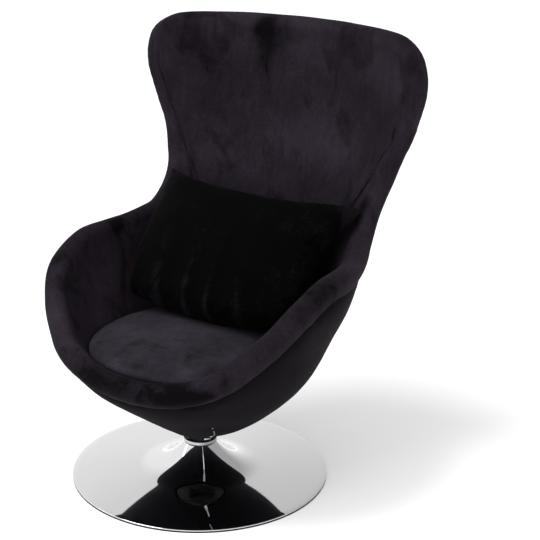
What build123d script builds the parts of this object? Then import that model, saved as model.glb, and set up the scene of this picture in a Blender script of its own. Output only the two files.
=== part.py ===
from build123d import *
import os
from math import atan2, copysign, cos, pi, radians, sin, sqrt, tan

# Egg lounge chair on a swivelling trumpet base, in millimetres.
# Origin: the floor point on the swivel axis. Front is -Y, +Z is up.

os.makedirs("parts", exist_ok=True)

# Trumpet base
base_radius = 280
floor_ring_width = 12
floor_ring_height = 3
rim_edge = 3
sheet = 2
flare_slope = 4
flare_radius = 136
throat_radius = 130
neck_height = 76
collar_height = 6
collar_spigot = 5
collar_overhang = 1

# Floor plate and column
plate_radius = 190
plate_thickness = 5
flange_radius = 48
flange_thickness = 5
tube_wall = 3.5
screw_circle = 36
screw_count = 4
screw_radius = 3
screw_head_radius = 5.5
screw_head_height = 2.5

# Swivel bearing
spindle_radius = 14
bush_wall = 3
bush_length = 16
bush_flange = 2
bush_height = 22
washer_thickness = 2
clip_thickness = 1.5
clip_groove = 1.5
clip_width = 4
spindle_tail = 4
hub_radius = 24

# Seat fixing
swivel_plate_radius = 48
swivel_plate_thickness = 5
bolt_circle = 36
bolt_count = 4
bolt_radius = 4
bolt_head_radius = 6.5
bolt_head_height = 5
bolt_washer_radius = 8
bolt_washer_thickness = 1.5
tee_barrel_radius = 5.5
tee_barrel_length = 10
tee_flange_radius = 10
tee_flange_thickness = 1.5
board_radius = 54
board_thickness = 16
hem_ring_width = 8
hem_ring_height = 5

# Upholstered bucket
hem_height = 108
crown_height = 957
shell_wall = 8
lining = 38
roll_height = 46
roll_round = 10
deck_height = 285

# Seat pad and back pillow
pad_radius = 200
pad_setting = -18
pad_height = 57
pad_crown = 12
pad_tuck = 9
pillow_width = 486
pillow_height = 350
pillow_thickness = 128
pillow_edge = 10
pillow_lean = 47
pillow_foot = -16

# Zip pull at the hem
pull_length = 22
pull_width = 3
pull_thickness = 1.2
slider_length = 9
slider_width = 6
slider_thickness = 3
pull_turn = 45
pull_lift = 2

# Clearances
ease = 0.3
running_fit = 0.05
axial_play = 0.1

# The bucket's outside: height, half width, back, middle, front and squareness of each level oval
levels = [
    (hem_height, 64, 62, 0, -66, 2.1),
    (130, 112, 112, 4, -98, 2.1),
    (175, 173, 188, 4, -162, 2.1),
    (245, 238, 241, -12, -251, 2.15),
    (330, 287, 274, -34, -306, 2.2),
    (430, 322, 307, -20, -306, 2.35),
    (530, 331, 347, 43, -293, 2.7),
    (640, 349, 382, 125, -257, 3.0),
    (750, 380, 400, 195, -202, 2.75),
    (860, 398, 402, 238, -150, 2.3),
    (crown_height + 13, 375, 399, 225, -101, 2.1),
]

# Side view of the wall's top edge from lip to crown, as depth and height, run out past both ends
edge_profile = [
    (-350, 288), (-290, 292), (-236, 312), (-190, 390), (-105, 470), (10, 504), (130, 503), (215, 520),
    (270, 572), (310, 645), (322, 760), (318, 880), (335, 940), (375, crown_height - 2), (450, crown_height),
]

# Points on each half oval, and how closely the bucket's faces follow them
oval_points = 11
face_fit = 0.5

wall = shell_wall + ease + lining


# A smooth curve through points, which never overshoots them
def curve(xs, ys):
    steps = [b - a for a, b in zip(xs, xs[1:])]
    rises = [(b - a) / step for a, b, step in zip(ys, ys[1:], steps)]
    slopes = [rises[0]]
    for i in range(1, len(rises)):
        if rises[i - 1] * rises[i] <= 0:
            slopes.append(0)
            continue
        near = 2 * steps[i] + steps[i - 1]
        far = steps[i] + 2 * steps[i - 1]
        slopes.append((near + far) / (near / rises[i - 1] + far / rises[i]))
    slopes.append(rises[-1])

    def value(x):
        x = min(max(x, xs[0]), xs[-1])
        i = max(k for k in range(len(steps)) if xs[k] <= x)
        t = (x - xs[i]) / steps[i]
        start = ys[i] * (1 + 2 * t) + slopes[i] * steps[i] * t
        end = ys[i + 1] * (3 - 2 * t) - slopes[i + 1] * steps[i] * (1 - t)
        return start * (1 - t) ** 2 + end * t * t

    return value


heights, *columns = zip(*levels)
half_width_at, back_at, middle_at, front_at, squareness_at = [curve(heights, column) for column in columns]


# Half an oval of the bucket, drawn in by an inset, from its back round to its front
def half_oval(height, inset):
    middle = middle_at(height)
    power = 2 / squareness_at(height)
    points = []
    for i in range(oval_points):
        turn = pi * i / (oval_points - 1)
        side = round(sin(turn), 9) ** power
        ahead = copysign(abs(cos(turn)) ** power, cos(turn))
        reach = (back_at(height) if ahead >= 0 else 2 * middle - front_at(height)) - middle - inset
        points.append(Vector((half_width_at(height) - inset) * side, middle + reach * ahead, height))
    return points


# The bucket's outside drawn in by an inset, as a solid with flat ends
def egg(inset):
    rows = [half_oval(height, inset) for height in heights]
    right = Face.make_surface_from_array_of_points(rows, tol=face_fit, min_deg=3, max_deg=3)
    left = right.mirror(Plane.YZ)
    ends = []
    for height in (heights[0], heights[-1]):
        halves = [face.edges().sort_by(lambda edge: abs(edge.center().Z - height))[0] for face in (right, left)]
        ends.append(Face(Wire(halves)))
    return Solid(Shell([right, left, *ends]))


# Everything above a height
def above(height):
    reach = 4 * base_radius
    return Pos(0, 0, height) * Box(reach, reach, reach, align=(Align.CENTER, Align.CENTER, Align.MIN))


# Everything above the wall's edge lowered by a drop
def above_edge(drop):
    points = []
    for before, point, after in zip(edge_profile[:1] + edge_profile, edge_profile, edge_profile[1:] + edge_profile[-1:]):
        along = Vector(after[0] - before[0], after[1] - before[1]).normalized()
        points.append((0, point[0] + along.Y * drop, point[1] - along.X * drop))
    top = 2 * crown_height
    edge = Spline(*points)
    lid = Polyline(points[-1], (0, points[-1][1], top), (0, points[0][1], top), points[0])
    return extrude(make_face([edge, lid]), amount=levels[-1][1] * 2, both=True, dir=(1, 0, 0))


def write(name, shape):
    export_step(shape, f"parts/{name}.step")


# A round bar or ring standing on a height
def bar(radius, bottom, top, bore=0):
    shape = Pos(0, 0, bottom) * Cylinder(radius, top - bottom, align=(Align.CENTER, Align.CENTER, Align.MIN))
    if bore:
        shape -= Pos(0, 0, bottom) * Cylinder(bore, top - bottom, align=(Align.CENTER, Align.CENTER, Align.MIN))
    return shape


# Copies of a shape round the swivel axis
def around(count, radius, shape):
    return [Rot(0, 0, 360 * i / count) * Pos(radius, 0, 0) * shape for i in range(count)]


# Heights of the base, from the floor up
flare_lift = tan(radians(flare_slope))
rim_top = floor_ring_height + rim_edge
flare_height = rim_top + (base_radius - flare_radius) * flare_lift
throat_x = flare_radius + throat_radius * sin(radians(flare_slope))
throat_z = flare_height + throat_radius * cos(radians(flare_slope))
plate_top = rim_top + (base_radius - plate_radius) * flare_lift - sheet / cos(radians(flare_slope)) - ease
flange_top = plate_top + flange_thickness
collar_top = neck_height + collar_height
bush_top = collar_top + bush_flange
washer_top = bush_top + washer_thickness
hub_bottom = washer_top + axial_play

bush_bore = spindle_radius + running_fit
tube_bore = bush_bore + bush_wall
tube_radius = tube_bore + tube_wall

# Heights of the seat fixing
shell_bottom = hem_height
shell_floor = shell_bottom + shell_wall
board_bottom = shell_floor + ease
board_top = board_bottom + board_thickness
tee_top = board_top + tee_flange_thickness
plate_bottom = shell_bottom - swivel_plate_thickness
washer_bottom = plate_bottom - bolt_washer_thickness
foam_bottom = tee_top + ease


# Radius of a throat arc at one height
def throat(radius, z):
    return throat_x - sqrt(radius**2 - (throat_z - z) ** 2)


# A throat arc in the turning profile, from the flare up to the neck
def throat_arc(radius):
    start = radians(270 - flare_slope)
    end = atan2(neck_height - throat_z, throat(radius, neck_height) - throat_x) % (2 * pi)
    middle = (start + end) / 2
    points = [(throat_x + radius * cos(a), throat_z + radius * sin(a)) for a in (start, middle, end)]
    return points


def base_trumpet():
    outer = throat_arc(throat_radius)
    inner = throat_arc(throat_radius + sheet)
    drop = sheet / cos(radians(flare_slope)) - sheet * flare_lift
    lines = [
        Polyline((base_radius - sheet, floor_ring_height), (base_radius, floor_ring_height),
                 (base_radius, rim_top), outer[0]),
        ThreePointArc(*outer),
        Line(outer[2], inner[2]),
        ThreePointArc(*inner),
        Polyline(inner[0], (base_radius - sheet, rim_top - drop), (base_radius - sheet, floor_ring_height)),
    ]
    profile = Plane.XZ * make_face(lines)
    write("base_trumpet", revolve(profile, Axis.Z))


def floor_ring():
    write("floor_ring", bar(base_radius - ease, 0, floor_ring_height, base_radius - floor_ring_width))


def floor_plate():
    plate = bar(plate_radius, plate_top - plate_thickness, plate_top)
    hole = bar(screw_radius + ease, plate_top - plate_thickness, plate_top)
    sink = bar(screw_head_radius + ease, plate_top - plate_thickness, plate_top - plate_thickness + screw_head_height)
    for cut in around(screw_count, screw_circle, hole + sink):
        plate -= cut
    write("floor_plate", plate)

    head_bottom = plate_top - plate_thickness
    screw = bar(screw_radius, head_bottom, flange_top - ease)
    screw += bar(screw_head_radius, head_bottom, head_bottom + screw_head_height)
    write("plate_screws", Compound(around(screw_count, screw_circle, screw)))


def column():
    tube = bar(flange_radius, plate_top, flange_top) + bar(tube_radius, plate_top, collar_top)
    tube -= bar(tube_bore, plate_top, collar_top)
    for cut in around(screw_count, screw_circle, bar(screw_radius, plate_top, flange_top)):
        tube -= cut
    write("column_tube", tube)

    neck_bore = throat(throat_radius + sheet, neck_height)
    neck_radius = throat(throat_radius, neck_height)
    collar = bar(neck_radius + collar_overhang, neck_height, collar_top)
    collar += bar(neck_bore - running_fit, neck_height - collar_spigot, neck_height)
    collar -= bar(tube_radius + running_fit, neck_height - collar_spigot, collar_top)
    write("neck_collar", collar)


def bearing():
    upper = bar(tube_bore, collar_top - bush_length, collar_top) + bar(tube_radius, collar_top, bush_top)
    upper -= bar(bush_bore, collar_top - bush_length, bush_top)
    write("upper_bush", upper)
    write("lower_bush", bar(tube_bore, bush_height, bush_height + bush_length, bush_bore))
    write("thrust_washer", bar(tube_radius, bush_top, washer_top, bush_bore))

    clip_top = bush_height - axial_play
    clip_bottom = clip_top - clip_thickness
    spindle = bar(spindle_radius, clip_bottom - spindle_tail, shell_bottom)
    groove = bar(spindle_radius, clip_bottom, clip_top, spindle_radius - clip_groove)
    write("spindle", spindle - groove)
    clip_bore = spindle_radius - clip_groove
    clip = bar(clip_bore + clip_width, clip_bottom, clip_top, clip_bore)
    gap = Pos(clip_bore + clip_width / 2, 0, clip_bottom) * Box(
        clip_width * 2, clip_width, clip_thickness, align=(Align.CENTER, Align.CENTER, Align.MIN))
    write("spindle_clip", clip - gap)


def seat_fixing():
    hole = bar(bolt_radius + ease, plate_bottom, shell_bottom)
    plate = bar(swivel_plate_radius, plate_bottom, shell_bottom) + bar(hub_radius, hub_bottom, plate_bottom)
    plate -= bar(spindle_radius, hub_bottom, shell_bottom)
    for cut in around(bolt_count, bolt_circle, hole):
        plate -= cut
    write("swivel_plate", plate)

    washer = bar(bolt_washer_radius, washer_bottom, plate_bottom, bolt_radius + ease)
    write("bolt_washers", Compound(around(bolt_count, bolt_circle, washer)))

    bolt = bar(bolt_radius, washer_bottom, tee_top)
    bolt += bar(bolt_head_radius, washer_bottom - bolt_head_height, washer_bottom)
    write("plate_bolts", Compound(around(bolt_count, bolt_circle, bolt)))

    board = bar(board_radius, board_bottom, board_top)
    hole = bar(bolt_radius + ease, board_bottom, board_top)
    hole += bar(tee_barrel_radius, board_top - tee_barrel_length, board_top)
    for cut in around(bolt_count, bolt_circle, hole):
        board -= cut
    write("seat_board", board)

    tee = bar(tee_flange_radius, board_top, tee_top) + bar(tee_barrel_radius, board_top - tee_barrel_length, board_top)
    tee -= bar(bolt_radius, board_top - tee_barrel_length, tee_top)
    write("tee_nuts", Compound(around(bolt_count, bolt_circle, tee)))

    ring_bore = swivel_plate_radius + ease
    write("hem_ring", bar(ring_bore + hem_ring_width, shell_bottom - hem_ring_height, shell_bottom, ring_bore))


# The moulded shell with its bonded outer cover: a cup with holes for the bolts
def outer_shell():
    shell = egg(0) - (egg(shell_wall) & above(shell_floor)) - above_edge(roll_height + ease)
    for cut in around(bolt_count, bolt_circle, bar(bolt_radius + ease, shell_bottom, shell_floor)):
        shell -= cut
    write("outer_shell", shell)


# The foam lining with its bonded inner cover: it fills the bowl under the deck and lines the wall
def inner_lining():
    foam = (egg(shell_wall + ease) & above(foam_bottom)) - (egg(wall) & above(deck_height))
    write("inner_lining", foam - above_edge(roll_height + ease))


# The upholstered roll round the whole edge: two halves that meet on the centre plane
def edge_roll():
    reach = 4 * base_radius
    right_side = Box(reach, reach, reach, align=(Align.MIN, Align.CENTER, Align.MIN))
    band = (egg(0) & right_side) - (egg(wall) & above(deck_height)) - above_edge(0)
    spans = [(edge, edge.bounding_box().size) for edge in band.edges()]
    rim = [edge for edge, span in spans if min(span.X, span.Z) > 2 * wall]
    half = (band.fillet(roll_round, rim) & above_edge(roll_height)).solids()[0]
    write("edge_roll", Compound([half, half.mirror(Plane.YZ)]))


# The seat pad: drawn-in sides and a crowned top
def seat_pad():
    side = pad_height - pad_crown
    foot = pad_radius - pad_tuck
    lines = [
        Line((0, 0), (foot, 0)),
        ThreePointArc((foot, 0), (pad_radius, side / 2), (foot, side)),
        RadiusArc((foot, side), (0, pad_height), -(foot**2 + pad_crown**2) / (2 * pad_crown)),
        Line((0, pad_height), (0, 0)),
    ]
    pad = revolve(Plane.XZ * make_face(lines), Axis.Z)
    write("seat_pad", Pos(0, pad_setting, deck_height + ease) * pad)


# The pillow's lower seam stands on the pad
pillow_depth = pillow_foot + pillow_height / 2 * sin(radians(pillow_lean))
pillow_level = deck_height + ease + pad_height + ease
pillow_level += pillow_height / 2 * cos(radians(pillow_lean)) + pillow_edge / 2 * sin(radians(pillow_lean))

# The pillow's own frame: x across, y up its length, z out of its front
pillow_place = Plane(
    origin=(0, pillow_depth, pillow_level),
    x_dir=(1, 0, 0),
    z_dir=(0, -cos(radians(pillow_lean)), sin(radians(pillow_lean))),
)


# A lens with blunt ends, as long as a span and extruded to a length
def lens(span, length, plane):
    edge = pillow_edge / 2
    crown = pillow_thickness / 2
    ends = span / 2
    lines = [
        ThreePointArc((-ends, edge), (0, crown), (ends, edge)),
        Line((ends, edge), (ends, -edge)),
        ThreePointArc((ends, -edge), (0, -crown), (-ends, -edge)),
        Line((-ends, -edge), (-ends, edge)),
    ]
    return extrude(plane * make_face(lines), amount=length / 2, both=True)


# The back pillow: full in the middle, thin at all four seams
def back_pillow():
    across = lens(pillow_width, pillow_height, Plane.XZ)
    upward = lens(pillow_height, pillow_width, Plane.YZ)
    write("back_pillow", pillow_place * (across & upward))


# A zip slider at the hem with its pull lying up the outer cover
def zip_pull():
    low, high = [
        Vector(half_width_at(z) * sin(radians(pull_turn)), front_at(z) * cos(radians(pull_turn)), z)
        for z in (hem_height, hem_height + pull_length)
    ]
    upward = (high - low).normalized()
    outward = Vector(cos(radians(pull_turn)), sin(radians(pull_turn)), 0).cross(upward).normalized()
    place = Plane(origin=low + outward * pull_lift, x_dir=upward.cross(outward), z_dir=outward)
    seat = (Align.CENTER, Align.MIN, Align.MIN)
    slider = Box(slider_width, slider_length, slider_thickness, align=seat)
    pull = Pos(0, slider_length / 2, slider_thickness - pull_thickness) * Box(
        pull_width, pull_length, pull_thickness, align=seat)
    write("zip_pull", place * (slider + pull))


base_trumpet()
floor_ring()
floor_plate()
column()
bearing()
seat_fixing()
outer_shell()
inner_lining()
edge_roll()
seat_pad()
back_pillow()
zip_pull()
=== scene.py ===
import bpy
import bmesh
import numpy as np
from math import atan2, cos, pi, radians, sin, sqrt, tan
from mathutils import Matrix, Vector, noise


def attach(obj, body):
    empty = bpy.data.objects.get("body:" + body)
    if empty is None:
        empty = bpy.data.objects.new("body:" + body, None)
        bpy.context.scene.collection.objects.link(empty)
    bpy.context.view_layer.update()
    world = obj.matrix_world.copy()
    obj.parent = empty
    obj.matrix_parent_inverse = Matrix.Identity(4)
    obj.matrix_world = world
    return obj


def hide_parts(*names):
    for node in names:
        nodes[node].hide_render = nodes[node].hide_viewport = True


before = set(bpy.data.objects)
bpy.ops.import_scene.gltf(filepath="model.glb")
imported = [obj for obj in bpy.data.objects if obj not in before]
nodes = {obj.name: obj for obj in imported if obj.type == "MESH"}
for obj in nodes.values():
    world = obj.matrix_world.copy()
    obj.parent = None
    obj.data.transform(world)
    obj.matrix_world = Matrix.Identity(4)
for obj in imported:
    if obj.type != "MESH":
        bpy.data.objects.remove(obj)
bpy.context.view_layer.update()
scene = bpy.context.scene
mm = 0.001
print("frame loaded")


# A shader value that takes part in sums and products
class Term:
    def __init__(self, look, socket):
        self.look = look
        self.socket = socket

    def maths(self, operation, other):
        return self.look.add("Math", {"operation": operation}, {0: self, 1: other})

    def __add__(self, other):
        return self.maths("ADD", other)

    def __sub__(self, other):
        return self.maths("SUBTRACT", other)

    def __mul__(self, other):
        return self.maths("MULTIPLY", other)


class Look:
    def __init__(self, name, constants):
        self.material = bpy.data.materials.new(name)
        self.material.use_nodes = True
        self.tree = self.material.node_tree
        self.shader = self.tree.nodes["Principled BSDF"]
        for entry, value in constants.items():
            self.shader.inputs[entry].default_value = value
        self.place = self.add("TexCoord", {}, {}, "Object")

    def add(self, kind, settings, entries, output=0):
        node = self.tree.nodes.new("ShaderNode" + kind)
        for name, value in settings.items():
            setattr(node, name, value)
        for name, value in entries.items():
            if isinstance(value, Term):
                self.tree.links.new(value.socket, node.inputs[name])
            else:
                node.inputs[name].default_value = value
        return Term(self, node.outputs[output])

    def noise(self, scale, detail=2.0, stretch=(1, 1, 1), distortion=0.0):
        place = self.add("Mapping", {}, {"Vector": self.place, "Scale": stretch})
        entries = {"Vector": place, "Scale": scale, "Detail": detail, "Distortion": distortion}
        return self.add("TexNoise", {}, entries)

    def ramp(self, factor, stops):
        colour = self.add("ValToRGB", {}, {"Fac": factor})
        elements = colour.socket.node.color_ramp.elements
        while len(elements) < len(stops):
            elements.new(0.5)
        for element, (position, shade) in zip(elements, stops):
            element.position = position
            element.color = (*shade, 1)
        return colour

    def feed(self, entry, term):
        self.tree.links.new(term.socket, self.shader.inputs[entry])

    def bump(self, height, strength, distance):
        entries = {"Height": height, "Strength": strength, "Distance": distance}
        self.feed("Normal", self.add("Bump", {}, entries, "Normal"))


# Velvet: dark pile with pile marks, painted shade and painted light from a mesh attribute, soft sheen at
# the edges
def velvet(name, deep, pale, sheen, tint):
    look = Look(name, {
        "Sheen Weight": sheen, "Sheen Roughness": 0.4, "Sheen Tint": (*tint, 1), "Specular IOR Level": 0.06,
    })
    pileAndPaintedLight = look.add("Attribute", {"attribute_name": "pileAndPaintedLight"}, {}, "Fac")
    strokes = look.noise(70, 4.0, (1, 1, 0.35), 0.9)
    nap = look.noise(330, 3.0)
    pile = look.noise(1500, 2.0)
    swept = look.noise(11, 5.0, (1, 1, 0.55), 1.2)
    scuffs = look.add("MapRange", {}, {"Value": swept, "From Min": 0.36, "From Max": 0.45})
    usualMarks = 0.675
    shade = pileAndPaintedLight + scuffs * 0.2 + strokes * 0.4 + nap * 0.55 - usualMarks
    middle = [a * 0.55 + b * 0.45 for a, b in zip(deep, pale)]
    look.feed("Base Color", look.ramp(shade, [(0.1, deep), (0.5, middle), (0.9, pale)]))
    look.feed("Roughness", pileAndPaintedLight * -0.2 + 1.0)
    look.bump(pile * 0.5 + nap * 0.6 + strokes * 0.4, 0.35, 0.0009)
    return look.material


def metal(name, colour, roughness, smudge):
    look = Look(name, {"Metallic": 1.0})
    haze = look.noise(9, 4.0, (1, 1, 1), 0.6)
    look.feed("Base Color", look.ramp(haze, [(0.3, [c * 0.97 for c in colour]), (0.7, colour)]))
    look.feed("Roughness", haze * smudge + roughness)
    look.bump(look.noise(2600, 1.0), 0.02, 0.0001)
    return look.material


def plain(name, deep, pale, roughness, grain, shine=0.15, stretch=(1, 1, 1)):
    look = Look(name, {"Specular IOR Level": shine})
    cloud = look.noise(grain, 4.0, stretch, 0.5)
    look.feed("Base Color", look.ramp(cloud, [(0.3, deep), (0.7, pale)]))
    look.feed("Roughness", cloud * 0.15 + roughness)
    look.bump(look.noise(grain * 20, 2.0, stretch), 0.1, 0.0004)
    return look.material


plum, greyPlum, darkPlum = (0.5, 0.38, 0.54), (0.5, 0.45, 0.54), (0.5, 0.42, 0.54)
# The same velvet twice: a darker shaded copy for the outer cover (painted shade) and a paler lit copy for
# the roll and the lining (painted light)
outerVelvetShaded = velvet("outerVelvetShaded", (0.0008, 0.0006, 0.0009), (0.0050, 0.0037, 0.0055), 0.03, plum)
innerVelvetLit = velvet("innerVelvetLit", (0.0016, 0.0012, 0.0018), (0.0240, 0.0180, 0.0262), 0.035, plum)
padVelvet = velvet("padVelvet", (0.006, 0.0050, 0.007), (0.034, 0.0285, 0.039), 0.07, greyPlum)
pillowVelvet = velvet("pillowVelvet", (0.0002, 0.0002, 0.0002), (0.0150, 0.0116, 0.0160), 0.008, darkPlum)
chrome = metal("polishedChrome", (0.8, 0.8, 0.81), 0.02, 0.03)
brightSteel = metal("brightSteel", (0.62, 0.62, 0.63), 0.22, 0.12)
darkSteel = metal("darkSteel", (0.02, 0.02, 0.02), 0.45, 0.15)
blackSteel = plain("blackSteel", (0.004, 0.004, 0.004), (0.009, 0.009, 0.009), 0.5, 60)
blackPlastic = plain("blackPlastic", (0.004, 0.004, 0.004), (0.009, 0.009, 0.009), 0.5, 90)
bearingPlastic = plain("bearingPlastic", (0.02, 0.02, 0.02), (0.035, 0.035, 0.035), 0.45, 80)
plywood = plain("plywood", (0.32, 0.2, 0.1), (0.55, 0.38, 0.22), 0.6, 14, 0.3, (1, 9, 1))
print("materials made")

finishes = {
    chrome: ["neck_collar", "zip_pull"],
    brightSteel: ["plate_screws", "spindle", "spindle_clip", "tee_nuts"],
    darkSteel: ["bolt_washers", "plate_bolts"],
    blackSteel: ["floor_plate", "column_tube", "swivel_plate"],
    blackPlastic: ["floor_ring", "hem_ring"],
    bearingPlastic: ["upper_bush", "lower_bush", "thrust_washer"],
    plywood: ["seat_board"],
}
for material, names in finishes.items():
    for name in names:
        nodes[name].data.materials.clear()
        nodes[name].data.materials.append(material)


# A mesh of rows that each close on themselves, in millimetres
def loopMesh(name, rows, material, closed=False, capped=False):
    count, around = len(rows), len(rows[0])
    places = np.concatenate(rows) * mm
    faces = []
    for i in range(count if closed else count - 1):
        for j in range(around):
            low, high = i * around, (i + 1) % count * around
            faces.append([low + j, low + (j + 1) % around, high + (j + 1) % around, high + j])
    if capped:
        faces.append(list(range((count - 1) * around, count * around)))
    mesh = bpy.data.meshes.new(name)
    mesh.from_pydata(places.tolist(), [], faces)
    mesh.polygons.foreach_set("use_smooth", [True] * len(faces))
    mesh.materials.append(material)
    piece = bpy.data.objects.new(name, mesh)
    scene.collection.objects.link(piece)
    return piece


# Joins points that lie together and turns the normals outward
def tidyMesh(piece):
    work = bmesh.new()
    work.from_mesh(piece.data)
    bmesh.ops.remove_doubles(work, verts=work.verts, dist=0.01 * mm)
    bmesh.ops.recalc_face_normals(work, faces=work.faces)
    work.to_mesh(piece.data)
    work.free()


def points(piece):
    flat = np.empty(len(piece.data.vertices) * 3)
    piece.data.vertices.foreach_get("co", flat)
    return flat.reshape(-1, 3)


def setPoints(piece, places):
    piece.data.vertices.foreach_set("co", places.ravel())
    piece.data.update()


patchEdge = {"size": 32, "reach": 1.3, "raggedness": 0.55, "steepness": 1.1}


# Where the pile lies light or dark: cloudy marks everywhere, on a base level that can carry painted
# highlights, and ragged patches as place, reach and darkness, which carry painted shade, and painted light
# where darkness is negative
def brush(piece, cloud, depth, patches=(), level=0.5):
    places = points(piece) / mm
    shade = np.array([noise.fractal(Vector(p) / cloud, 1.0, 2.0, 3) for p in places]) * depth + level
    ragged = np.array([noise.fractal(Vector(p) / patchEdge["size"], 1.0, 2.0, 2) for p in places])
    outline = patchEdge["reach"] + patchEdge["raggedness"] * ragged
    for place, reach, darkness in patches:
        away = np.linalg.norm((places - place) / reach, axis=1)
        shade -= darkness * np.clip((outline - away) * patchEdge["steepness"], 0, 1)
    attribute = piece.data.attributes.new("pileAndPaintedLight", "FLOAT", "POINT")
    attribute.data.foreach_set("value", np.clip(shade, 0, 1))


# Puts a modified mesh in place of the piece's own and removes the modifiers
def settle(piece):
    shaped = bpy.data.meshes.new_from_object(piece.evaluated_get(bpy.context.evaluated_depsgraph_get()))
    piece.modifiers.clear()
    piece.data = shaped
    shaped.polygons.foreach_set("use_smooth", [True] * len(shaped.polygons))


# A smooth curve through points, which never overshoots them
def through(xs, ys):
    xs = np.array(xs, float)
    ys = np.array(ys, float)
    step = np.diff(xs)
    rise = np.diff(ys) / step
    level = rise[:-1] * rise[1:] <= 0
    near = 2 * step[1:] + step[:-1]
    far = step[1:] + 2 * step[:-1]
    before = np.where(level, 1, rise[:-1])
    after = np.where(level, 1, rise[1:])
    between = (near + far) / (near / before + far / after)
    slope = np.concatenate([rise[:1], np.where(level, 0, between), rise[-1:]])

    def value(x):
        x = np.clip(x, xs[0], xs[-1])
        i = np.clip(np.searchsorted(xs, x, side="right") - 1, 0, len(step) - 1)
        t = (x - xs[i]) / step[i]
        start = ys[i] * (1 + 2 * t) + slope[i] * step[i] * t
        end = ys[i + 1] * (3 - 2 * t) - slope[i + 1] * step[i] * (1 - t)
        return start * (1 - t) ** 2 + end * t * t

    return value


# The bucket: the turned hem as shrink and rise, swells as size and depth, level ovals as height,
# half width, back, middle, front and squareness, and the side view of the wall's edge as depth and height
bucket = {
    "hem": 108, "lip": 270, "crown": 934, "wall": 46, "deck": 285,
    "rollDrop": 23, "groove": 4, "grooveReach": 7, "ripple": 0.9, "rippleReach": 16, "puff": 3,
    "cloth": 4, "sharpFrom": 50, "leastDrop": 8, "deckSag": 4,
    "heart": (0, 100, 480),
    "hemTurn": ((0.84, 3), (0.9, 0.6), (0.965, -0.6)),
    "coverSwells": ((95, 1.6), (34, 0.5)), "rollSwell": (80, 1.8), "liningSwell": (90, 2.2),
    "around": 264, "outerRows": 46, "sideRows": 7, "rollRows": 18, "innerRows": 34,
    "levels": [
        (108, 64, 62, 0, -66, 2.1), (130, 112, 112, 4, -98, 2.1), (175, 173, 188, 4, -162, 2.1),
        (245, 238, 241, -12, -251, 2.15), (330, 287, 274, -34, -306, 2.2), (430, 322, 307, -20, -306, 2.35),
        (530, 331, 347, 43, -293, 2.7), (640, 349, 382, 125, -257, 3.0), (750, 380, 400, 195, -202, 2.75),
        (860, 398, 402, 238, -150, 2.3), (970, 375, 399, 225, -101, 2.1),
    ],
    "edge": [
        (-173, 389), (-98, 452), (8, 483), (120, 480), (212, 494), (277, 548), (317, 620), (338, 727),
        (333, 841), (334, 895), (352, 926),
    ],
}
heights, *columns = zip(*bucket["levels"])
halfWidthAt, backAt, middleAt, frontAt, squarenessAt = [through(heights, column) for column in columns]
hem, lip, crown = bucket["hem"], bucket["lip"], bucket["crown"]
edgeLine = [(float(frontAt(lip)), lip), *bucket["edge"], (float(backAt(crown)), crown)]
edgeRun = np.concatenate([[0], np.cumsum(np.hypot(*np.diff(np.array(edgeLine), axis=0).T))])
edgeDepth, edgeHeight = [through(edgeRun, column) for column in zip(*edgeLine)]


# Half width of the bucket's outside at a depth and a height
def halfWidth(y, z):
    middle = middleAt(z)
    reach = np.where(y >= middle, (y - middle) / (backAt(z) - middle), (middle - y) / (middle - frontAt(z)))
    power = squarenessAt(z)
    return halfWidthAt(z) * np.maximum(0, 1 - np.abs(reach) ** power) ** (1 / power)


# The bucket's outside: turn goes round from the front, climb from the hem at 0 to the wall's edge at 1
def outside(turn, climb):
    share = (1 - np.cos(turn)) / 2
    run = share * edgeRun[-1]
    frontZ = hem + (lip - hem) * climb
    backZ = hem + (crown - hem) * climb
    hemY = frontAt(hem) + (backAt(hem) - frontAt(hem)) * share
    y = (1 - climb) * hemY + climb * edgeDepth(run)
    y = y + (1 - share) * (frontAt(frontZ) - (1 - climb) * frontAt(hem) - climb * edgeLine[0][0])
    y = y + share * (backAt(backZ) - (1 - climb) * backAt(hem) - climb * edgeLine[-1][0])
    z = (1 - climb) * hem + climb * edgeHeight(run)
    z = z + (1 - share) * (frontZ - (1 - climb) * hem - climb * lip)
    z = z + share * (backZ - (1 - climb) * hem - climb * crown)
    x = halfWidth(y, z) * np.sign(np.round(np.sin(turn), 9))
    return np.stack([x, y, z], axis=-1)


def unit(v):
    return v / np.maximum(np.linalg.norm(v, axis=-1, keepdims=True), 1e-9)


# Directions out of the bucket and up its side
def directions(turn, climb):
    nudge = 0.004
    along = outside(turn + nudge, climb) - outside(turn - nudge, climb)
    up = outside(turn, np.minimum(climb + nudge, 1)) - outside(turn, np.maximum(climb - nudge, 0))
    out = unit(np.cross(along, up))
    out = out * np.sign(np.sum(out * (outside(turn, climb) - bucket["heart"]), axis=-1, keepdims=True))
    for shift in (1, 2, 4):
        out = unit(out + np.roll(out, shift, axis=0) + np.roll(out, -shift, axis=0))
    return out, unit(np.cross(out, along))


# Slow swells of stuffed fabric, in millimetres
def swell(places, size, depth):
    return np.array([[noise.noise(Vector(p) / size) * depth] for p in places])


def coverSwell(places):
    return sum(swell(places, size, depth) for size, depth in bucket["coverSwells"])


turns = (np.arange(bucket["around"]) + 0.5) * 2 * pi / bucket["around"]
ones = np.ones_like(turns)
edgeReach = np.linalg.norm(outside(turns, ones) - outside(turns, ones * 0.98), axis=-1) / 0.02
seamClimb = 1 - bucket["rollDrop"] / edgeReach
puckers = np.sin(turns * 61 + 2 * np.sin(turns * 7)) * np.sin(turns * 13 + 1)


def outsideRow(climb, lift):
    out, _ = directions(turns, climb)
    return outside(turns, climb) + out * lift


def insideRow(climb, lift):
    out, _ = directions(turns, climb)
    return outside(turns, climb) - out * (bucket["wall"] + lift)


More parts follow.
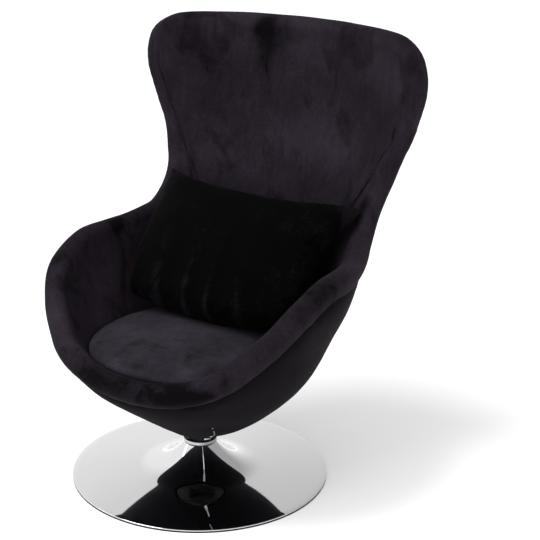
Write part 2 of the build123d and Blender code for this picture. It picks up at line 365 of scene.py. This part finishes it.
# The outer cover from its turned hem to the groove under the roll
outerRows = []
for shrink, rise in bucket["hemTurn"]:
    outerRows.append(outside(turns, 0 * ones) * (shrink, shrink, 1) + (0, 0, rise))
for i in range(bucket["outerRows"] + 1):
    share = i / bucket["outerRows"]
    climb = seamClimb * share
    below = (1 - share) * seamClimb * edgeReach
    row = outsideRow(climb, 0 * ones[:, None])
    ripple = (puckers * np.exp(-below / bucket["rippleReach"]) * bucket["ripple"])[:, None]
    sink = (bucket["groove"] * np.exp(-below / bucket["grooveReach"]))[:, None]
    row += directions(turns, climb)[0] * (ripple - sink + coverSwell(row) * min(1, share * 6))
    outerRows.append(row)
outerCover = loopMesh("outerCover", outerRows, outerVelvetShaded)

# The roll over the wall's edge
rollRows = []
for i in range(bucket["sideRows"]):
    climb = seamClimb + (1 - seamClimb) * i / bucket["sideRows"]
    rollRows.append((outside(turns, climb), directions(turns, climb)[0]))
edgeOut, edgeUp = directions(turns, ones)
radius = bucket["wall"] / 2
for i in range(bucket["rollRows"] + 1):
    angle = pi * i / bucket["rollRows"]
    spoke = edgeOut * cos(angle) + edgeUp * sin(angle)
    rollRows.append((outside(turns, ones) - edgeOut * radius + spoke * radius, spoke))
for i in range(1, bucket["sideRows"] + 1):
    climb = 1 - (1 - seamClimb) * i / bucket["sideRows"]
    out = directions(turns, climb)[0]
    rollRows.append((outside(turns, climb) - out * bucket["wall"], -out))
shaped = []
for i, (row, out) in enumerate(rollRows):
    share = i / (len(rollRows) - 1)
    fullness = (1 - (1 - share) ** 6) * (1 - share**2) ** 2
    lift = bucket["puff"] * fullness - bucket["groove"] * (1 - share) ** 6
    ripple = (puckers * (1 - share) ** 9 * 0.8)[:, None]
    shaped.append(row + out * (lift + ripple + swell(row, *bucket["rollSwell"]) * fullness))
edgeRoll = loopMesh("edgeRoll", shaped, innerVelvetLit)

# The inner side down to the deck, which is found by halving, and the deck
insideEdge = insideRow(seamClimb, 0)
floorLevel = np.minimum(bucket["deck"], insideEdge[:, 2] - bucket["leastDrop"])
low, high = 0 * ones, seamClimb
for _ in range(26):
    half = (low + high) / 2
    under = insideRow(half, 0)[:, 2] < floorLevel
    low, high = np.where(under, half, low), np.where(under, high, half)
innerRows = []
for i in range(bucket["innerRows"] + 1):
    share = i / bucket["innerRows"]
    climb = seamClimb + (high - seamClimb) * share
    row = insideRow(climb, 0)
    row -= directions(turns, climb)[0] * swell(row, *bucket["liningSwell"]) * min(1, share * 6)
    innerRows.append(row)
deckMiddle = np.array([0, float(middleAt(bucket["deck"])), bucket["deck"] - bucket["deckSag"]])
rim = innerRows[-1]
for share in (0.25, 0.5, 0.75, 0.97):
    innerRows.append(rim + (deckMiddle - rim) * share)
innerLining = loopMesh("innerLining", innerRows, innerVelvetLit, capped=True)

# Ragged patches: painted shade in the hollow on the right wing and along the near arm's outer side, darker
# marks on the back's top, the right wing's top and the front lip, and painted light that lifts the shade on
# the near arm's inner wall
pileAndPaintedLightPatches = [
    ((-66, 355, 900), (22, 60, 62), 0.34),
    ((-30, 355, 925), (62, 60, 26), 0.3),
    ((330, 315, 860), (34, 60, 50), 0.28),
    ((245, 250, 572), (16, 34, 78), 0.42),
    ((144, -258, 296), (70, 45, 40), 0.4),
    ((0, -272, 300), (190, 55, 42), 0.3),
    ((325, -57, 470), (45, 130, 40), 0.25),
    ((262, 20, 405), (50, 120, 60), -0.35),
]
for piece, node in ((outerCover, "outer_shell"), (edgeRoll, "edge_roll"), (innerLining, "inner_lining")):
    backing = piece.modifiers.new("backing", "SOLIDIFY")
    backing.thickness = bucket["cloth"] * mm
    backing.offset = -1
    settle(piece)
    piece.data.set_sharp_from_angle(angle=radians(bucket["sharpFrom"]))
    brush(piece, 150, 0.24, pileAndPaintedLightPatches)
    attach(piece, "seat")
    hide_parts(node)
print("bucket made")


# Small bars along a line, for the teeth of a zip
def barsAlongLine():
    tree = bpy.data.node_groups.new("zipTeeth", "GeometryNodeTree")
    kinds = {"Geometry": "Geometry", "Pitch": "Float", "Tooth": "Vector", "Finish": "Material"}
    for name, kind in kinds.items():
        tree.interface.new_socket(name, in_out="INPUT", socket_type="NodeSocket" + kind)
    tree.interface.new_socket("Geometry", in_out="OUTPUT", socket_type="NodeSocketGeometry")
    add = tree.nodes.new
    entry, leave = add("NodeGroupInput"), add("NodeGroupOutput")
    spots, tooth = add("GeometryNodeCurveToPoints"), add("GeometryNodeMeshCube")
    copies, realize, finish = [
        add("GeometryNode" + kind) for kind in ("InstanceOnPoints", "RealizeInstances", "SetMaterial")
    ]
    spots.mode = "LENGTH"
    for start, end in (
        (entry.outputs["Geometry"], spots.inputs["Curve"]),
        (entry.outputs["Pitch"], spots.inputs["Length"]),
        (entry.outputs["Tooth"], tooth.inputs["Size"]),
        (spots.outputs["Points"], copies.inputs["Points"]),
        (spots.outputs["Rotation"], copies.inputs["Rotation"]),
        (tooth.outputs["Mesh"], copies.inputs["Instance"]),
        (copies.outputs["Instances"], realize.inputs["Geometry"]),
        (realize.outputs["Geometry"], finish.inputs["Geometry"]),
        (entry.outputs["Finish"], finish.inputs["Material"]),
        (finish.outputs["Geometry"], leave.inputs["Geometry"]),
    ):
        tree.links.new(start, end)
    return tree


# The zip that closes the outer cover, from the hem up the front right, as turn in degrees and climb
zipLine = {
    "low": (28, 0.1), "high": (24, 0.42), "points": 30, "pitch": 2.1, "tooth": (2.6, 2.6, 1.3), "lift": 0.6,
}
zipCurve = bpy.data.curves.new("zipLine", "CURVE")
zipCurve.dimensions = "3D"
zipRun = zipCurve.splines.new("POLY")
zipRun.points.add(zipLine["points"] - 1)
for point, share in zip(zipRun.points, np.linspace(0, 1, zipLine["points"])):
    turn, climb = np.array(zipLine["low"]) * (1 - share) + np.array(zipLine["high"]) * share
    turn = np.array([radians(turn)])
    climb = np.array([climb])
    place = outside(turn, climb)
    place += directions(turn, climb)[0] * (zipLine["lift"] + coverSwell(place))
    point.co = (*place[0] * mm, 1)
zipHolder = bpy.data.objects.new("zipHolder", zipCurve)
scene.collection.objects.link(zipHolder)
teeth = zipHolder.modifiers.new("teeth", "NODES")
teeth.node_group = barsAlongLine()
zipSizes = {
    "Pitch": zipLine["pitch"] * mm,
    "Tooth": [size * mm for size in zipLine["tooth"]],
    "Finish": chrome,
}
for socket in teeth.node_group.interface.items_tree:
    if socket.name in zipSizes:
        teeth[socket.identifier] = zipSizes[socket.name]
bpy.context.view_layer.update()
zipMesh = bpy.data.meshes.new_from_object(zipHolder.evaluated_get(bpy.context.evaluated_depsgraph_get()))
bpy.data.objects.remove(zipHolder)
zipTeeth = bpy.data.objects.new("zipTeeth", zipMesh)
scene.collection.objects.link(zipTeeth)
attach(zipTeeth, "seat")
print("zip made with", len(zipMesh.polygons), "faces")


# Fills a closed cushion as stuffed cloth, with no point moved further than the cap
def stuff(piece, voxel, pressure, slack, cap, frames=20):
    remesh = piece.modifiers.new("voxels", "REMESH")
    remesh.mode = "VOXEL"
    remesh.voxel_size = voxel * mm
    settle(piece)
    start = points(piece)
    cloth = piece.modifiers.new("cloth", "CLOTH")
    cloth.settings.use_pressure = True
    cloth.settings.uniform_pressure_force = pressure
    cloth.settings.shrink_min = -slack
    cloth.settings.quality = 6
    cloth.settings.mass = 0.2
    cloth.settings.tension_stiffness = 20
    cloth.settings.compression_stiffness = 20
    cloth.settings.bending_stiffness = 0.3
    cloth.settings.effector_weights.gravity = 0
    cloth.point_cache.frame_end = frames
    for number in range(1, frames + 1):
        scene.frame_set(number)
    settle(piece)
    move = points(piece) - start
    length = np.linalg.norm(move, axis=1, keepdims=True)
    setPoints(piece, start + move * np.minimum(1, cap * mm / np.maximum(length, 1e-9)))
    scene.frame_set(1)
    smooth = piece.modifiers.new("smooth", "SMOOTH")
    smooth.factor = 0.5
    smooth.iterations = 3
    divide = piece.modifiers.new("divide", "SUBSURF")
    divide.levels = divide.render_levels = 1
    settle(piece)


# The seat pad: it follows the bowl a little inside the wall, with a rounded shoulder and a crowned top
seatPad = {
    "low": 285.5, "shoulder": 322, "top": 341, "brim": 14, "gap": 9, "round": 34, "span": 220, "tuck": 8,
    "stuffing": {"voxel": 6, "pressure": 4, "slack": 0.02, "cap": 5},
}


def bowlRing(height, inset):
    middle = middleAt(height)
    power = 2 / squarenessAt(height)
    aside, fore = np.sin(turns), -np.cos(turns)
    reach = np.where(fore >= 0, backAt(height) - middle, middle - frontAt(height)) - inset
    x = (halfWidthAt(height) - inset) * np.sign(aside) * np.abs(aside) ** power
    y = middle + reach * np.sign(fore) * np.abs(fore) ** power
    return np.stack([x, y, height + 0 * turns], axis=-1)


padMiddle = np.array([0, float(middleAt(bucket["deck"])), 0])
inset = bucket["wall"] + seatPad["gap"]
foot = bowlRing(bucket["deck"], inset + seatPad["tuck"])
brimHeight = seatPad["shoulder"] - seatPad["brim"]


# A ring drawn in towards the pad's middle, at one height
def padRow(ring, share, height):
    return padMiddle * (1 - share) + ring * (share, share, 0) + (0, 0, height)


padRows = [padRow(foot, share, seatPad["low"]) for share in (0.001, 0.4, 0.8)]
for i in range(7):
    height = seatPad["low"] + (brimHeight - seatPad["low"]) * i / 6
    padRows.append(bowlRing(height, inset + seatPad["tuck"] * (1 - i / 6) ** 2))
brim = bowlRing(brimHeight, inset)
for i in range(1, 9):
    angle = pi / 2 * i / 8
    share = 1 - seatPad["round"] / seatPad["span"] * (1 - cos(angle))
    padRows.append(padRow(brim, share, brimHeight + seatPad["brim"] * sin(angle)))
ledge = padRows[-1]
for i in range(1, 9):
    share = max(1 - i / 8, 0.001)
    domed = (seatPad["top"] - seatPad["shoulder"]) * (1 - share**2.2)
    padRows.append(padRow(ledge, share, seatPad["shoulder"] + domed))
padPiece = loopMesh("seatPad", padRows, padVelvet)
tidyMesh(padPiece)
stuff(padPiece, **seatPad["stuffing"])
brush(padPiece, 60, 0.2)
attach(padPiece, "seat")
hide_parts("seat_pad")
print("seat pad made")

# The loose pillow: full in the middle, thin at its seams, its sides drawn in between the corners
pillow = {
    "width": 486, "height": 350, "thickness": 122, "edge": 5, "lean": 47, "middle": (0, 112, 465.6),
    "drawnIn": 0.055, "drawnRight": 0.12, "lowCorners": 0.36, "highCorners": -0.05, "ear": 16,
    "grid": (64, 48), "wrinkle": 5, "wrinkleFrom": 25,
    "stuffing": {"voxel": 6, "pressure": 3, "slack": 0.05, "cap": 8},
}
across, upward = pillow["grid"]
a, b = np.meshgrid(np.linspace(-1, 1, across), np.linspace(-1, 1, upward))
full = np.sqrt(np.maximum(0, (1 - np.abs(a) ** 2.6) * (1 - np.abs(b) ** 2.4)))
half = pillow["edge"] / 2 + (pillow["thickness"] - pillow["edge"]) / 2 * full
cut = np.where(b < 0, pillow["lowCorners"], pillow["highCorners"])
sides = np.where(a > 0, pillow["drawnRight"], pillow["drawnIn"])
x = a * pillow["width"] / 2 * (1 - sides * (1 - b * b)) * np.sqrt(1 - cut * b * b)
y = b * pillow["height"] / 2 * (1 - pillow["drawnIn"] * (1 - a * a)) * np.sqrt(1 - cut * a * a)
y = y + pillow["ear"] * ((1 - a) / 2) ** 3 * ((1 + b) / 2) ** 2
front = np.stack([x, y, half], axis=-1).reshape(-1, 3)
back = np.stack([x, y, -half], axis=-1).reshape(-1, 3)
faces = []
for i in range(upward - 1):
    for j in range(across - 1):
        start = i * across + j
        face = [start, start + 1, start + across + 1, start + across]
        faces.append(face)
        faces.append([len(front) + k for k in face[::-1]])
border = list(range(across)) + [i * across + across - 1 for i in range(1, upward)]
border += [(upward - 1) * across + j for j in range(across - 2, -1, -1)]
border += [i * across for i in range(upward - 2, 0, -1)]
for start, end in zip(border, border[1:] + border[:1]):
    faces.append([start, start + len(front), end + len(front), end])
mesh = bpy.data.meshes.new("backPillow")
mesh.from_pydata((np.concatenate([front, back]) * mm).tolist(), [], faces)
mesh.materials.append(pillowVelvet)
pillowPiece = bpy.data.objects.new("backPillow", mesh)
scene.collection.objects.link(pillowPiece)
tidyMesh(pillowPiece)
stuff(pillowPiece, **pillow["stuffing"])

# Gathers that run in from the seams, deepest at the lower one
places = points(pillowPiece) / mm
a = places[:, 0] / (pillow["width"] / 2)
b = places[:, 1] / (pillow["height"] / 2)
facing = np.sign(places[:, 2])
fromLow = np.exp(-(b + 1) / 0.42)
fromSide = np.exp(-(1 - np.abs(a)) / 0.3)
folds = np.sin(a * 19 + 1.6 * np.sin(a * 5) + b * 1.5)
gathers = folds * fromLow + 0.5 * np.sin(b * 13 + 2 * a) * fromSide
# Painted light: a painted sheen that grows towards the pillow's edges, and painted highlights on the ridges
# of the lower gathers, stronger on the left
edgeSheenMask = np.maximum(np.abs(a), np.abs(b) * 0.9) ** 5
paintedHighlight = 0.02 + 0.3 * edgeSheenMask + 0.75 * np.maximum(0, folds) ** 3 * fromLow * (0.6 - 0.4 * a)
thick = np.minimum(1, np.abs(places[:, 2]) / pillow["wrinkleFrom"])
places[:, 2] += facing * pillow["wrinkle"] * gathers * thick
lean = radians(pillow["lean"])
turned = np.stack([
    places[:, 0],
    pillow["middle"][1] + places[:, 1] * sin(lean) - places[:, 2] * cos(lean),
    pillow["middle"][2] + places[:, 1] * cos(lean) + places[:, 2] * sin(lean),
], axis=-1)
setPoints(pillowPiece, turned * mm)
brush(pillowPiece, 60, 0.1, level=paintedHighlight)
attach(pillowPiece, "pillow")
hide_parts("back_pillow")
print("pillow made")

# The trumpet base, turned on a lathe
trumpet = {
    "radius": 280, "low": 3, "rimTop": 6, "edge": 1.2, "sheet": 2, "slope": 4, "flare": 136, "throat": 130,
    "neck": 76, "foot": 0.4, "around": 288, "rimSteps": 6, "slopeSteps": 12, "throatSteps": 36,
}
slope = radians(trumpet["slope"])
flareHeight = trumpet["rimTop"] + (trumpet["radius"] - trumpet["flare"]) * tan(slope)
centreR = trumpet["flare"] + trumpet["throat"] * sin(slope)
centreZ = flareHeight + trumpet["throat"] * cos(slope)
neckDrop = centreZ - trumpet["neck"]
neckTurn = atan2(-neckDrop, -sqrt(trumpet["throat"] ** 2 - neckDrop**2)) % (2 * pi)
flareStart = trumpet["radius"] - trumpet["edge"]
profile = [(trumpet["radius"] - inward, trumpet["low"]) for inward in (trumpet["sheet"], trumpet["foot"])]
for i in range(trumpet["rimSteps"] + 1):
    angle = (pi / 2 - slope) * i / trumpet["rimSteps"]
    profile.append((
        flareStart + trumpet["edge"] * cos(angle),
        trumpet["rimTop"] - trumpet["edge"] + trumpet["edge"] * sin(angle),
    ))
for i in range(1, trumpet["slopeSteps"]):
    r = flareStart + (trumpet["flare"] - flareStart) * i / trumpet["slopeSteps"]
    profile.append((r, trumpet["rimTop"] + (trumpet["radius"] - r) * tan(slope)))
start = 3 * pi / 2 - slope
throatTurns = np.linspace(start, neckTurn, trumpet["throatSteps"] + 1)
for angle in throatTurns:
    profile.append((centreR + trumpet["throat"] * cos(angle), centreZ + trumpet["throat"] * sin(angle)))
inner = trumpet["throat"] + trumpet["sheet"]
for angle in throatTurns[::-6]:
    profile.append((centreR + inner * cos(angle), max(centreZ + inner * sin(angle), trumpet["low"])))
spin = np.arange(trumpet["around"]) * 2 * pi / trumpet["around"]
rows = [np.stack([r * np.cos(spin), r * np.sin(spin), z + 0 * spin], axis=-1) for r, z in profile]
basePiece = loopMesh("trumpetBase", rows, chrome, closed=True)
tidyMesh(basePiece)
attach(basePiece, "base")
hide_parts("base_trumpet")
print("base made")

# Camera, as fitted to the photograph
camera = {
    "turn": 31, "tilt": 18.6164, "roll": 1, "distance": 2940, "right": 146.95, "up": 444.82,
    "focal": 1324.235, "frame": 540, "sensor": 36,
}
turn, tilt, roll = [radians(camera[key]) for key in ("turn", "tilt", "roll")]
right = Vector((cos(turn), sin(turn), 0))
up = Vector((-sin(turn) * sin(tilt), cos(turn) * sin(tilt), cos(tilt)))
ahead = Vector((-sin(turn) * cos(tilt), cos(turn) * cos(tilt), -sin(tilt)))
eye = (right * camera["right"] + up * camera["up"] - ahead * camera["distance"]) * mm
rolledRight = right * cos(roll) + up * sin(roll)
rolledUp = up * cos(roll) - right * sin(roll)
lens = bpy.data.cameras.new("camera")
lens.sensor_width = camera["sensor"]
lens.lens = camera["focal"] / camera["frame"] * camera["sensor"]
viewer = bpy.data.objects.new("camera", lens)
stance = Matrix((rolledRight, rolledUp, -ahead)).transposed().to_4x4()
viewer.matrix_world = Matrix.Translation(eye) @ stance
scene.collection.objects.link(viewer)
scene.camera = viewer

# Floor
floorMesh = bpy.data.meshes.new("floor")
reach = 30
corners = [(-reach, -reach, 0), (reach, -reach, 0), (reach, reach, 0), (-reach, reach, 0)]
floorMesh.from_pydata(corners, [], [(0, 1, 2, 3)])
paper = Look("paper", {"Roughness": 0.9, "Specular IOR Level": 0.1})
paperShades = [(0.2, (0.93, 0.93, 0.93)), (0.8, (0.95, 0.95, 0.95))]
paper.feed("Base Color", paper.ramp(paper.noise(3, 2.0), paperShades))
floorMesh.materials.append(paper.material)
floorPiece = bpy.data.objects.new("floor", floorMesh)
scene.collection.objects.link(floorPiece)

# Studio light: a soft key from the upper left, soft boxes at the front and right,
# and a narrow strip on the left, the only one that the chrome shows
keyLight = {"energy": 1.55, "angle": 24, "towards": (0.42, 0.37, -1)}
key = bpy.data.lights.new("key", "SUN")
key.energy = keyLight["energy"]
key.angle = radians(keyLight["angle"])
keyHolder = bpy.data.objects.new("key", key)
keyHolder.rotation_euler = Vector(keyLight["towards"]).to_track_quat("-Z", "Y").to_euler()
scene.collection.objects.link(keyHolder)
boxes = {
    "softBox": {"place": (-0.4, -2.2, 2.4), "size": (1.6, 1.2), "power": 26},
    "fill": {"place": (2.6, -1.5, 1.5), "size": (1.2, 1.4), "power": 34},
    "strip": {"place": (-2.3, -1.2, 1.7), "size": (0.25, 1.2), "power": 3},
}
chairMiddle = Vector((0, 0, 0.5))
for name, box in boxes.items():
    light = bpy.data.lights.new(name, "AREA")
    light.shape = "RECTANGLE"
    light.size, light.size_y = box["size"]
    light.energy = box["power"]
    holder = bpy.data.objects.new(name, light)
    holder.location = box["place"]
    holder.visible_glossy = name == "strip"
    holder.rotation_euler = (chairMiddle - holder.location).to_track_quat("-Z", "Y").to_euler()
    scene.collection.objects.link(holder)

# The room: an even light on the chair, and for the camera and the chrome a white that greys to one side
room = {"strength": 0.82, "greySide": (0.75, 0.45, 1), "greys": ((0.15, 1), (0.9, 0.42))}
world = bpy.data.worlds.new("studio")
scene.world = world
world.use_nodes = True
tree = world.node_tree
path = tree.nodes.new("ShaderNodeLightPath")
clear = tree.nodes.new("ShaderNodeBackground")
bearing = tree.nodes.new("ShaderNodeTexCoord")
facing = tree.nodes.new("ShaderNodeVectorMath")
facing.operation = "DOT_PRODUCT"
facing.inputs[1].default_value = room["greySide"]
shading = tree.nodes.new("ShaderNodeValToRGB")
for element, (position, grey) in zip(shading.color_ramp.elements, room["greys"]):
    element.position = position
    element.color = (grey, grey, grey, 1)
tree.links.new(bearing.outputs["Generated"], facing.inputs[0])
tree.links.new(facing.outputs["Value"], shading.inputs["Fac"])
tree.links.new(shading.outputs["Color"], clear.inputs["Color"])
even = tree.nodes["Background"]
even.inputs["Color"].default_value = (1, 1, 1, 1)
even.inputs["Strength"].default_value = room["strength"]
mix = tree.nodes.new("ShaderNodeMixShader")
seen = path.outputs["Is Camera Ray"]
for ray in ("Is Glossy Ray", "Is Transmission Ray"):
    either = tree.nodes.new("ShaderNodeMath")
    either.operation = "MAXIMUM"
    tree.links.new(seen, either.inputs[0])
    tree.links.new(path.outputs[ray], either.inputs[1])
    seen = either.outputs[0]
tree.links.new(seen, mix.inputs["Fac"])
tree.links.new(even.outputs["Background"], mix.inputs[1])
tree.links.new(clear.outputs["Background"], mix.inputs[2])
tree.links.new(mix.outputs["Shader"], tree.nodes["World Output"].inputs["Surface"])
scene.view_settings.view_transform = "Standard"
print("stage made")
